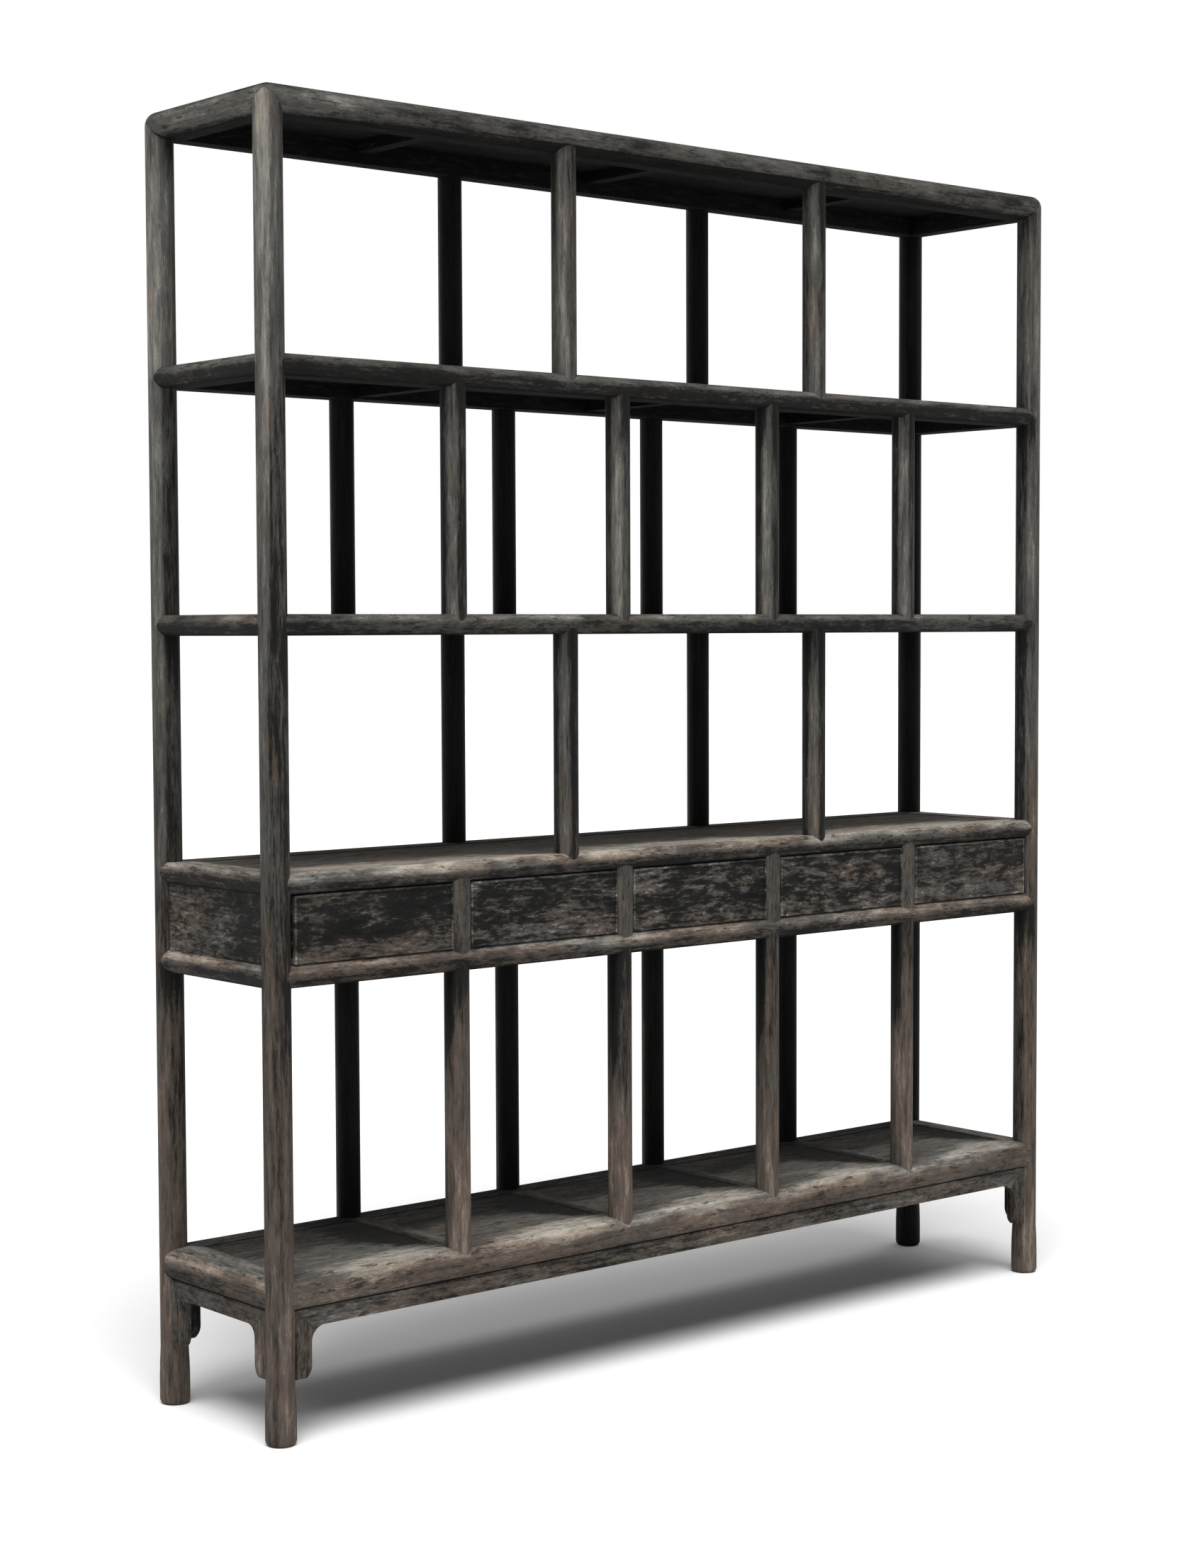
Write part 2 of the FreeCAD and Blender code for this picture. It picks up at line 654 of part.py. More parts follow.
# Rails of every level but the top, coped round the posts and tenoned into them
tenons = []
for level in levels[:-1]:
    x_tenon = rail_tenon(level, "x")
    y_tenon = rail_tenon(level, "y")
    tenons += [x_tenon, y_tenon]
    front = rail_blanks[level.name].common(front_plan(level)).cut(posts)
    front = front.fuse([x_tenon, flip(x_tenon, "x")]).removeSplitter().cut(mortises[level.name])
    left = left_blank(level).common(left_plan(level)).cut(posts)
    left = left.fuse([y_tenon, flip(y_tenon, "y")]).removeSplitter().cut(mortises[level.name])
    left_rails = [left, flip(left, "x")]
    rear = flip(front, "y")
    if level in (drawer_floor, case_top):
        rear = rear.cut(backs)
        left_rails = [rail.cut(sides) for rail in left_rails]
    parts[level.name + "_rail_front"] = [front]
    parts[level.name + "_rail_rear"] = [rear]
    parts[level.name + "_rails_ends"] = left_rails

# Top frame: round corners, and each corner mitred three ways between two rails and a post
wedge_x = mitre_wedge("x")
wedge_y = mitre_wedge("y")
ball = corner_ball()
front_ball = ball.common(front_plan(top)).common(wedge_x)
left_ball = ball.mirror(point(-post_x, -post_y, 0), point(1, -1, 0)).common(left_plan(top)).common(wedge_y)
post_tenon = top_tenon()
post_tenons = all_corners(post_tenon)
end_tenon = mitre_tenon()
end_tenons = all_corners(end_tenon)
front = rail_blanks[top.name].common(front_plan(top)).common(wedge_x)
front = front.fuse([front_ball, flip(front_ball, "x")]).removeSplitter()
front = front.cut(post_tenons + end_tenons + mortises[top.name])
left = left_blank(top).common(left_plan(top)).common(wedge_y)
left = left.fuse([left_ball, flip(left_ball, "y"), end_tenons[0], end_tenons[2]]).removeSplitter()
left = left.cut(post_tenons + mortises[top.name])
parts["top_rail_front"] = [front]
parts["top_rail_rear"] = [flip(front, "y")]
parts["top_rails_ends"] = [left, flip(left, "x")]

# Corner posts, mortised for every rail and grooved for the case's panels
names = ["post_front_left", "post_front_right", "post_rear_left", "post_rear_right"]
corner_tenons = [all_corners(tenon) for tenon in tenons]
for index, name in enumerate(names):
    shaft = posts[index].cut([wedge_x, wedge_y]).fuse(post_tenons[index]).removeSplitter()
    shaft = shaft.cut([images[index] for images in corner_tenons] + sides + backs)
    parts[name] = [shaft]

# Drawers, one for each opening between the stiles
for index, (left_edge, right_edge) in enumerate(bays):
    face_board, box_boards = drawer(left_edge, right_edge)
    parts["drawer_%d_front" % (index + 1)] = [face_board]
    parts["drawer_%d_box" % (index + 1)] = box_boards


def export(name, solids):
    shape = solids[0] if len(solids) == 1 else Part.makeCompound(solids)
    shape.exportStep("parts/" + name + ".step")


os.makedirs("parts", exist_ok=True)
for part_name, solids in parts.items():
    export(part_name, solids)
print(len(parts), "nodes,", sum(len(shape.Solids) for solids in parts.values() for shape in solids), "solids")
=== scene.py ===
import json
import math

import bpy
from mathutils import Matrix, Vector

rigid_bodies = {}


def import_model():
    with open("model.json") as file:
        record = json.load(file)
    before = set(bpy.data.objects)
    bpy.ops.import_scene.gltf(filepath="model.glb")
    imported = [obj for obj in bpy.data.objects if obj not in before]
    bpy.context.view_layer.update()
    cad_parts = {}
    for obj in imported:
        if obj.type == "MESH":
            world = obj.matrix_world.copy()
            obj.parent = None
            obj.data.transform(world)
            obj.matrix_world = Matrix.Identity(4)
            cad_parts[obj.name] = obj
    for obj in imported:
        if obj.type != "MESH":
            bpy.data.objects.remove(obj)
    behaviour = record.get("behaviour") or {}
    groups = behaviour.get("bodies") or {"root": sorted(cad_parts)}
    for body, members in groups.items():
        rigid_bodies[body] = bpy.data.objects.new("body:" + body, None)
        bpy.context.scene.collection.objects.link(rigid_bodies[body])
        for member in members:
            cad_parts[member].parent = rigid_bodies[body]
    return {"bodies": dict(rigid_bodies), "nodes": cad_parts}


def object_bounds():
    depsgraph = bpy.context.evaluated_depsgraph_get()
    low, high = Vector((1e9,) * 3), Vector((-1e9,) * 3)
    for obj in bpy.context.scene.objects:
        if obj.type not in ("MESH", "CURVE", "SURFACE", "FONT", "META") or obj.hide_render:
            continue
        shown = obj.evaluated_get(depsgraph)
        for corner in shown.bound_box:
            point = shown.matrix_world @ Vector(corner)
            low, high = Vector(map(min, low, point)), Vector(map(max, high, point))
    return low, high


# Looks of the tall open bookcase: worn black lacquer over elm on every outer piece,
# rubbed pale along the rounded edges and the front of the shelves, and bare elm inside.
# Lengths are in metres. A pair of limits runs from where a share is 0 to where it is 1.

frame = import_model()
nodes = frame["nodes"]
kept = set(nodes.values()) | set(frame["bodies"].values())
for extra in [obj for obj in bpy.data.objects if obj not in kept]:
    bpy.data.objects.remove(extra)
cad_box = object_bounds()
half_depth = -cad_box[0][1]

# Camera: fitted to the posts and rails of the photograph
PHOTO_LONG_SIDE = 2212
SENSOR = 36.0
FOCAL_PIXELS = 3853.0
CAMERA_PLACE = (-3.3683, -3.8543, 1.3315)
CAMERA_YAW = math.radians(40.2837)
CAMERA_PITCH = math.radians(-3.2651)
CAMERA_ROLL = math.radians(-0.2207)

# Light: a broad soft source high in front and to the left, a weak one at each end, and a faint
# surround. Each lamp has its elevation, its azimuth to the right of the front, spread and strength.
LAMPS = {"key": (65.0, -34.0, 36.0, 2.6),
         "left_fill": (60.0, -90.0, 44.0, 0.5),
         "right_fill": (60.0, 90.0, 44.0, 0.35)}
SKY_TOP = 0.32
SKY_SIDE = 0.13
WHITE = (1.0, 1.0, 1.0, 1.0)
FLOOR_GREY = (0.8, 0.8, 0.8, 1.0)
FLOOR_REACH = 40.0

# Colours, as they look on the surface: red, green and blue from 0 to 255
BLACK = (11, 11, 11)
LACQUER = (33, 32, 31)
GREYS = (BLACK, LACQUER, (66, 65, 62), (95, 94, 90), (143, 140, 132), (182, 176, 165))
BROWNS = (BLACK, LACQUER, (72, 65, 59), (102, 91, 83), (151, 138, 125), (190, 177, 160))
TONE_STEPS = (0.0, 0.36, 0.46, 0.64, 0.84, 1.0)
ELMS = ((86, 66, 47), (122, 97, 70), (152, 127, 95), (180, 156, 121))
ELM_STEPS = (0.25, 0.45, 0.6, 0.78)

# Middle of every noise, which runs from 0 to 1
NOISE_MIDDLE = 0.5

# Brownness of the lowest level beside its upper face and on it, and of the posts and uprights
# at their feet and above, with the heights between which it changes
BASE_BROWN = (0.14, -0.06)
POST_BROWN = (0.2, -0.14)
POST_BROWN_HEIGHTS = (0.2, 1.6)

# Worn lacquer: limits between which its noises turn into chips, brown patches, dark specks and
# open pores, and the tones between which lacquer gives way to bare wood
CHIPS = (0.56, 0.66)
CHIPPED_PATCHES = (0.46, 0.6)
BROWN_PATCHES = (0.38, 0.66)
SPECKS = (0.57, 0.61)
SPECK_SHARE = 0.7
PORES = (0.64, 0.72)
PORE_SHARE = 0.3
BARE = (0.35, 0.7)
LACQUER_ROUGHNESS = 0.45
LACQUER_RELIEF = 0.0005
LACQUER_GLOSS = 0.06
CHIP_PLACE = (5.0, 2.0, 9.0)
WARM_PLACE = (7.0, 3.0, 5.0)
SPECK_PLACE = (3.0, 8.0, 1.0)

# Bare elm: its pores, and the depth behind the front line over which it is darkened with painted
# shade
ELM_PORES = (0.62, 0.7)
ELM_PORE_SHARE = 0.5
ELM_ROUGHNESS = 0.55
ELM_RELIEF = 0.0004
ELM_GLOSS = 0.2
ELM_SHADE_DEPTH = 0.07
ELM_SHADE_FADE = 0.02

# Limits of the normal's height: on dusty faces, which don't shine, on the upper faces of the
# lowest level and of the rails, and on the undersides of the rails and of all other pieces
DUSTY = (0.5, 0.9)
BASE_UPPER = (0.5, 0.95)
RAIL_UPPER = (0.45, 0.9)
RAIL_UNDER = (-0.6, -0.95)
UNDER = (-0.5, -0.9)

# Tones of the faces that are always dark: undersides, faces that look into the case and battens,
# darker than the lacquer with painted shade
RAIL_DARK = 0.05
PANEL_UNDER = 0.1
PIECE_UNDER = 0.06
BATTEN_DARK = 0.03
UPRIGHT_DARK = 0.08

# Widths of the bays between the uprights
WIDE_BAY = 0.6124
NARROW_BAY = 0.3674

# Pale front on the levels' upper faces, partly wear and partly painted light: the noise that makes
# its edge ragged, by how much, and the edge's half width. It is full within the second of the
# distances from a bay's middle, by the bay's width. Beside the uprights it is cut back by their
# painted shadows and keeps this share of its reach, and the painted shadow behind each upright leans
# to the left by this share of its depth.
RAGGED_SCALES = (14.0, 40.0)
RAGGED = 0.16
WEAR_EDGE = 0.045
SHADOW_FREE_WIDTH = (0.5, 0.3)
WEAR_KEPT_IN_SHADOW = 0.3
UPRIGHT_SHADOW_LEAN = 0.5

# Lowest level: tones of its zones, and how ragged their edges are. The cream at the front of each bay
# is partly wear and partly a painted patch of light. The darker back is the painted shadow of the
# drawers above, and the corner by each bay's right upright is that upright's painted shadow. Across a
# bay the places run from 0 at the left upright to 1 at the right one. The cream's two edges shift
# with the depth, and the painted shadow at the back begins at the first depth on the left and at the
# second on the right.
DECK_FRONT = 0.57
DECK_CREAM = 0.85
DECK_MIDDLE = 0.63
DECK_SHADOW = 0.42
DECK_UPRIGHT_SHADOW = 0.3
DECK_RAGGED = 0.12
CREAM_LEFT = (0.0, 0.3)
CREAM_LEFT_SHIFT = -5.0
CREAM_RIGHT = (1.02, 0.82)
CREAM_RIGHT_SHIFT = 1.0
MIDDLE_DEPTHS = (0.05, 0.1)
SHADOW_DEPTHS = (0.18, 0.05)
SHADOW_TURN = (0.55, 1.0)
SHADOW_EDGE = (-0.02, 0.03)
UPRIGHT_SHADOW_LEFT = (0.6, 0.85)
UPRIGHT_SHADOW_RIGHT = (1.0, 0.9)

# Rails: how much their wear varies along them, and the half width of the turn on the nose to its
# lower part, which is darker with painted shade. Then the limits of the faces that look into the
# case, which are darker with painted shade, and the places along x between which the left end pales
RUBBED = 0.7
RUBBED_PLACE = (4.0, 4.0, 4.0)
NOSE_TURN = 0.4
RAIL_INNER = (-0.2, -0.5)
LEFT_END = (-0.55, -0.85)

# Heights between which the flat face of the lowest level grows paler upwards; below them its lower
# part is darker with painted shade
FACE_TURN = (0.24, 0.262)

# Distances from the middle over which the pale strip along the ends begins
END_STRIP = (0.87, 0.9)

# Posts: the heights at which their tones are given, half width of the turn between the pale
# and the dark side, and the shade below each level with its reach
POST_STEPS = (0.05, 0.4, 0.7, 0.85, 1.0, 1.25, 1.6, 1.8, 2.05)
POST_TURN = 0.09
POST_SHADE = 0.17
POST_SHADE_REACH = 0.1
POST_INWARD = (-0.2, 0.5)

# Uprights of the upper rows: limits of the stripe, partly worn and partly a painted highlight, which
# faces halfway to the left. Also the limits of the inner side, darker than the lacquer with painted
# shade, which reaches further round by this much on the rear ones
UPRIGHT_WEAR_AND_HIGHLIGHT = (0.8, 1.0)
HALFWAY = 0.71
UPRIGHT_INNER = (-0.6, 0.0)
REAR_ROUND = 0.25

# Uprights under the drawers: heights and tones of the side, which goes dark with the painted shadow
# of the drawers above, and of the front, and the limits of the front
LOW_SIDE_SHADOW_HEIGHTS = (0.47, 0.7)
LOW_SIDE_SHADOW_TONES = (0.58, UPRIGHT_DARK)
LOW_FRONT_HEIGHTS = (0.3, 0.62)
LOW_FRONT_TONES = (0.63, 0.46)
LOW_FRONT = (0.3, 0.8)

# Shade on posts and uprights below each level: distances inside the level at which it ends,
# its reach on the uprights, and its strength on those under the drawers
SHADE_END = (-0.02, -0.01)
UPRIGHT_SHADE_REACH = 0.13
LOW_UPRIGHT_SHADE = 0.14

# Panels beside the drawers: heights and tones of the painted shade under the rail above, which
# darkens them towards the top
SIDE_SHADE_HEIGHTS = (0.9, 0.83)
SIDE_SHADE_TONES = (0.33, 0.46)

# Aprons: underside of the board, the inner edges of the spandrels from the middle of the case,
# half width of the mitre's line, and the spandrels' tone
APRON_LOW = 0.19
SPANDREL_X = 0.8665
SPANDREL_Y = 0.1115
MITRE_EDGE = 0.002
SPANDREL_TONE = 0.46

# Drawer fronts: limits of the paler lower part by the share of the height, what it adds, and
# the light line round the front
DRAWER_LOW = (0.42, 0.12)
DRAWER_LOW_ADDS = 0.17
DRAWER_LINE = (0.005, 0.002)
DRAWER_LINE_ADDS = 0.14
DRAWER_SHIFT = 3.7

# Eased edges
EASED_WIDTH = 0.0008
EASED_SEGMENTS = 2
EASED_FROM = math.radians(32.0)
WELD_REACH = 0.00001


def linear(colour):
    """Scene-linear colour from an sRGB one."""
    def channel(value):
        share = value / 255
        return share / 12.92 if share <= 0.04045 else ((share + 0.055) / 1.055) ** 2.4
    return tuple(channel(value) for value in colour) + (1.0,)


class Shade:
    """A material's node tree. Its calls add a node and give back its output."""

    def __init__(self, name):
        self.material = bpy.data.materials.new(name)
        self.material.use_nodes = True
        self.tree = self.material.node_tree
        self.tree.nodes.clear()
        coords = self.tree.nodes.new("ShaderNodeTexCoord")
        self.place = coords.outputs["Object"]
        self.x, self.y, self.z = self.split(self.place)
        self.nx, self.ny, self.nz = self.split(coords.outputs["Normal"])

    def put(self, socket, value):
        """Links the value to the socket, or sets it there where it is plain."""
        if isinstance(value, bpy.types.NodeSocket):
            self.tree.links.new(value, socket)
        else:
            socket.default_value = value

    def split(self, vector):
        node = self.tree.nodes.new("ShaderNodeSeparateXYZ")
        self.put(node.inputs[0], vector)
        return tuple(node.outputs)

    def math(self, operation, first, second=0.0):
        node = self.tree.nodes.new("ShaderNodeMath")
        node.operation = operation
        self.put(node.inputs[0], first)
        self.put(node.inputs[1], second)
        return node.outputs[0]

    def add(self, first, second):
        return self.math("ADD", first, second)

    def less(self, first, second):
        return self.math("SUBTRACT", first, second)

    def times(self, first, second):
        return self.math("MULTIPLY", first, second)

    def absolute(self, value):
        return self.math("ABSOLUTE", value)

    def total(self, *terms):
        """Sum of (value, weight) pairs."""
        result = self.times(*terms[0])
        for value, weight in terms[1:]:
            result = self.add(self.times(value, weight), result)
        return result

    def step(self, value, low, high):
        """Smooth rise from 0 at low to 1 at high, or a fall where low is the larger."""
        node = self.tree.nodes.new("ShaderNodeMapRange")
        node.interpolation_type = "SMOOTHSTEP"
        self.put(node.inputs["Value"], value)
        self.put(node.inputs["From Min"], low)
        self.put(node.inputs["From Max"], high)
        return node.outputs[0]

    def between(self, share, first, second):
        """Number between two numbers."""
        node = self.tree.nodes.new("ShaderNodeMix")
        self.put(node.inputs[0], share)
        self.put(node.inputs[2], first)
        self.put(node.inputs[3], second)
        return node.outputs[0]

    def mix(self, share, first, second):
        """Colour between two colours, of which the second may be plain."""
        node = self.tree.nodes.new("ShaderNodeMix")
        node.data_type = "RGBA"
        self.put(node.inputs[0], share)
        self.put(node.inputs[6], first)
        self.put(node.inputs[7], linear(second) if isinstance(second, tuple) else second)
        return node.outputs[2]

    def ramp(self, value, steps, colours):
        """Colour picked from a row of colours."""
        node = self.tree.nodes.new("ShaderNodeValToRGB")
        self.put(node.inputs[0], value)
        stops = node.color_ramp.elements
        while len(stops) < len(steps):
            stops.new(1.0)
        for stop, step, colour in zip(stops, steps, colours):
            stop.position = step
            stop.color = linear(colour)
        return node.outputs[0]

    def turn_grain(self, grain, share):
        """Swaps the grain's axis and z where the share is 1, so that the grain runs upright there."""
        turned = self.tree.nodes.new("ShaderNodeCombineXYZ")
        axes = {"x": (self.z, self.y, self.x), "y": (self.x, self.z, self.y)}[grain]
        for socket, axis in zip(turned.inputs, axes):
            self.put(socket, axis)
        node = self.tree.nodes.new("ShaderNodeMix")
        node.data_type = "VECTOR"
        self.put(node.inputs[0], share)
        self.put(node.inputs[4], self.place)
        self.put(node.inputs[5], turned.outputs[0])
        self.place = node.outputs[1]

    def noise(self, grain, scales, detail, roughness, distortion=0.0, shift=(0.0, 0.0, 0.0)):
        """Noise from its scales along and across the grain, so that it runs out along it."""
        along, across = scales
        place = self.tree.nodes.new("ShaderNodeMapping")
        self.put(place.inputs["Vector"], self.place)
        place.inputs["Location"].default_value = shift
        sizes = [along if axis == grain else across for axis in "xyz"]
        place.inputs["Scale"].default_value = sizes
        node = self.tree.nodes.new("ShaderNodeTexNoise")
        self.put(node.inputs["Vector"], place.outputs[0])
        node.inputs["Scale"].default_value = 1.0
        node.inputs["Detail"].default_value = detail
        node.inputs["Roughness"].default_value = roughness
        node.inputs["Distortion"].default_value = distortion
        return node.outputs["Fac"]

    def bump(self, height, distance):
        node = self.tree.nodes.new("ShaderNodeBump")
        self.put(node.inputs["Height"], height)
        node.inputs["Distance"].default_value = distance
        node.inputs["Strength"].default_value = 1.0
        return node.outputs[0]

    def finish(self, colour, roughness, normal, gloss):
        """Adds the shader and gives back the material."""
        shader = self.tree.nodes.new("ShaderNodeBsdfPrincipled")
        self.put(shader.inputs["Base Color"], colour)
        self.put(shader.inputs["Roughness"], roughness)
        self.put(shader.inputs["Normal"], normal)
        shader.inputs["Specular IOR Level"].default_value = gloss
        output = self.tree.nodes.new("ShaderNodeOutputMaterial")
        self.tree.links.new(shader.outputs[0], output.inputs["Surface"])
        return self.material


def even_warmth(share):
    """Brownness that is the same all over the piece."""
    def warmth(s):
        return share
    return warmth


def base_warmth(s):
    """Brownness of the lowest level: less on its upper face."""
    return s.between(s.step(s.nz, *BASE_UPPER), *BASE_BROWN)


def post_warmth(s):
    """Brownness of the posts and uprights: grey above, browner towards the feet."""
    return s.between(s.step(s.z, *POST_BROWN_HEIGHTS), *POST_BROWN)


def lacquer(name, grain, level, warmth=even_warmth(0.0), contrast=0.8, streak=1.0, shift=0.0,
            turned=None, chips=0.12, drawn=1.0, coarse=1.0, dull=False):
    """Worn lacquer. level(shade) gives the tone, from 0 for black to 1 for bare pale wood, and
    warmth(shade) the brownness. The contrast is that of the wear, streak the share of the fine
    lines in it, and chips what a chip adds. The wear is drawn out along the grain, and its
    flakes are coarse by the given factor. Where turned(shade) is 1 the grain runs upright."""
    s = Shade(name)
    if turned:
        s.turn_grain(grain, turned(s))
    move = (shift, shift, shift)

    # Noises: scales along and across the grain, detail, roughness and distortion
    broad = s.noise(grain, (3.5, 14.0), 2.0, 0.5, shift=move)
    patches = s.noise(grain, (18.0 / drawn, 60.0), 6.0, 0.7 / coarse, 0.3 * coarse, move)
    streaks = s.noise(grain, (7.0, 170.0), 3.0, 0.6, shift=move)
    flakes = s.noise(grain, (60.0 / drawn / coarse, 190.0 / coarse), 6.0, 0.75 / coarse,
                     0.5 * coarse, move)
    hairs = s.noise(grain, (45.0, 900.0), 2.0, 0.6, shift=move)

    # Tone: the noises by their weights, about their middle, then the chips
    wear = ((broad, 0.6), (patches, 0.8), (streaks, 0.6 * streak), (flakes, 0.9),
            (hairs, 0.2 * streak))
    middle = NOISE_MIDDLE * sum(weight for layer, weight in wear)
    spread = s.times(s.less(s.total(*wear), middle), contrast)
    chipped = s.times(s.step(s.noise(grain, (70.0, 330.0), 3.0, 0.7, 0.6, CHIP_PLACE), *CHIPS),
                      s.step(patches, *CHIPPED_PATCHES))
    tone = s.add(spread, s.add(level(s), s.times(chipped, chips)))

    # Colour: grey or brown by the tone, with dark specks and black pores
    brown = s.add(s.noise(grain, (5.0, 30.0), 3.0, 0.6, shift=WARM_PLACE), warmth(s))
    colour = s.mix(s.step(brown, *BROWN_PATCHES), s.ramp(tone, TONE_STEPS, GREYS),
                   s.ramp(tone, TONE_STEPS, BROWNS))
    specks = s.step(s.noise(grain, (24.0 / drawn, 120.0), 5.0, 0.7, 0.4, SPECK_PLACE), *SPECKS)
    colour = s.mix(s.times(specks, SPECK_SHARE / drawn), colour, LACQUER)
    pores = s.step(hairs, *PORES)
    colour = s.mix(s.times(pores, PORE_SHARE), colour, BLACK)

    # Surface: lacquer shines a little where it isn't dusty, and bare wood lies lower
    bare = s.step(tone, *BARE)
    if dull:
        rough = 1.0
    else:
        polished = s.total((bare, 0.25), (hairs, 0.15), (1.0, LACQUER_ROUGHNESS))
        rough = s.between(s.step(s.absolute(s.nz), *DUSTY), polished, 1.0)
    height = s.total((bare, -0.5), (flakes, -0.5), (hairs, 0.3), (streaks, 0.9), (pores, -0.4))
    return s.finish(colour, rough, s.bump(height, LACQUER_RELIEF), LACQUER_GLOSS)


def elm(name, grain):
    """Bare planed elm, with long rings and open pores, darkened with painted shade near the front."""
    s = Shade(name)
    rings = s.noise(grain, (1.6, 42.0), 3.0, 0.5, 0.8)
    fine = s.noise(grain, (12.0, 420.0), 4.0, 0.6)
    pores = s.step(s.noise(grain, (60.0, 1300.0), 2.0, 0.6), *ELM_PORES)
    colour = s.ramp(s.total((rings, 0.7), (fine, 0.35)), ELM_STEPS, ELMS)
    colour = s.mix(s.times(pores, ELM_PORE_SHARE), colour, ELMS[0])
    # Painted shade over the front of the drawer boxes, as far back as the depth
    shaded_front = ELM_SHADE_DEPTH - half_depth
    colour = s.mix(s.step(s.y, shaded_front + ELM_SHADE_FADE, shaded_front), colour, LACQUER)
    rough = s.total((fine, 0.2), (1.0, ELM_ROUGHNESS))
    height = s.total((fine, 0.5), (pores, -0.5))
    return s.finish(colour, rough, s.bump(height, ELM_RELIEF), ELM_GLOSS)


def outward(s, axis):
    """How much the surface faces away from the middle of the case along x or y."""
    place, normal = (s.x, s.nx) if axis == "x" else (s.y, s.ny)
    return s.times(s.math("SIGN", place), normal)


def bay_place(s, along, bay):
    """Place within a bay, from 0 at its left upright to 1 at its right one."""
    return s.math("FRACT", s.add(s.times(along, 1 / bay), 0.5))


def front_wear_light_and_shadow(s, bay, reach, pale, dark):
    """Tone of a level's upper face: pale at the front, partly wear and partly painted light, and dark
    behind each upright with its painted shadow.
    """
    depth = s.add(s.y, half_depth)
    along = s.add(s.x, s.times(depth, UPRIGHT_SHADOW_LEAN))
    from_middle = s.absolute(s.less(bay_place(s, along, bay), 0.5))
    # Share clear of the uprights' painted shadows, which cut the pale front back beside them
    shadow_free = s.step(from_middle, *SHADOW_FREE_WIDTH)
    ragged = s.less(s.noise("x", RAGGED_SCALES, 3.0, 0.6), NOISE_MIDDLE)
    share = s.total((shadow_free, 1.0 - WEAR_KEPT_IN_SHADOW), (1.0, WEAR_KEPT_IN_SHADOW))
    limit = s.add(s.times(share, reach), s.times(ragged, RAGGED))
    return s.between(s.step(s.less(depth, limit), WEAR_EDGE, -WEAR_EDGE), dark, pale)


def deck_wear_light_and_shadow(s):
    """Tone of the lowest level: cream at the front of each bay, partly wear and partly a painted
    patch of light, and grey behind. It is black at the back with the painted shadow of the drawers
    above, which reaches further forwards in the painted shadow of each bay's right upright."""
    ragged = s.less(s.noise("x", RAGGED_SCALES, 4.0, 0.6), NOISE_MIDDLE)
    depth = s.total((s.y, 1.0), (1.0, half_depth), (ragged, DECK_RAGGED))
    place = bay_place(s, s.x, NARROW_BAY)
    cream = s.times(s.step(s.total((place, 1.0), (depth, CREAM_LEFT_SHIFT)), *CREAM_LEFT),
                    s.step(s.total((place, 1.0), (depth, CREAM_RIGHT_SHIFT)), *CREAM_RIGHT))
    front = s.between(cream, DECK_FRONT, DECK_CREAM)
    tone = s.between(s.step(depth, *MIDDLE_DEPTHS), front, DECK_MIDDLE)
    # Painted shadow of the drawers above, and of each bay's right upright in the corner
    behind = s.less(depth, s.between(s.step(place, *SHADOW_TURN), *SHADOW_DEPTHS))
    corner = s.times(s.step(place, *UPRIGHT_SHADOW_LEFT), s.step(place, *UPRIGHT_SHADOW_RIGHT))
    back = s.between(corner, DECK_SHADOW, DECK_UPRIGHT_SHADOW)
    return s.between(s.step(behind, *SHADOW_EDGE), tone, back)


def rail_level(axis, upper, left, nose, lower, turn=None, edge=None):
    """Tone of a rail that runs along the axis: on its upper face, on the upper part of its nose and
    on the lower part, which is darker with painted shade. The nose turns dark where its normal's
    height passes the turn, or without one at FACE_TURN. Left is what the left end adds, and edge the
    tone of the outer strip above. The faces that look into the case and the undersides are darker
    than the lacquer with painted shade."""
    def level(s):
        rubbed = s.less(s.noise(axis, (9.0, 14.0), 2.0, 0.5, shift=RUBBED_PLACE), NOISE_MIDDLE)
        if turn is None:
            rise = s.step(s.z, *FACE_TURN)
        else:
            rise = s.step(s.nz, turn - NOSE_TURN, turn + NOSE_TURN)
        side = s.between(rise, lower, s.add(nose, s.times(rubbed, RUBBED)))
        side = s.add(side, s.times(s.step(s.x, *LEFT_END), left))
        above = upper(s)
        if edge is not None:
            above = s.between(s.step(s.absolute(s.x), *END_STRIP), above, edge)
        tone = s.between(s.step(s.nz, *RAIL_UPPER), side, above)
        # Faces that look into the case and undersides are darker than the lacquer with painted shade
        inner = s.step(outward(s, "y" if axis == "x" else "x"), *RAIL_INNER)
        dark = s.math("MAXIMUM", inner, s.step(s.nz, *RAIL_UNDER))
        return s.between(dark, tone, RAIL_DARK)
    return level


def by_height(s, values):
    """Value along a post, from its values at POST_STEPS."""
    result = values[0]
    for low, high, value in zip(POST_STEPS, POST_STEPS[1:], values[1:]):
        result = s.between(s.step(s.z, low, high), result, value)
    return result


def shade_under(s, reach):
    """Share of painted shade that grows to 1 up to the underside of each level, over the reach."""
    share = 0.0
    for height in undersides:
        gap = s.less(height, s.z)
        rise = s.times(s.step(gap, reach, SHADE_END[1]), s.step(gap, *SHADE_END))
        share = s.math("MAXIMUM", rise, share)
    return share


def post_level(axis, sign, pale, dark, turn):
    """Tone of a post: pale on the side that faces along the axis, dark beside it from the turn on,
    and darker with painted shade below each level where it faces into the case."""
    def level(s):
        facing = s.less(s.times(s.nx if axis == "x" else s.ny, sign), by_height(s, turn))
        tone = s.between(s.step(facing, -POST_TURN, POST_TURN), by_height(s, dark),
                         by_height(s, pale))
        inward = s.math("MAXIMUM", s.times(outward(s, "x"), -1.0),
                        s.times(outward(s, "y"), -1.0))
        shade = s.times(s.step(inward, *POST_INWARD), shade_under(s, POST_SHADE_REACH))
        return s.add(tone, s.times(shade, -POST_SHADE))
    return level


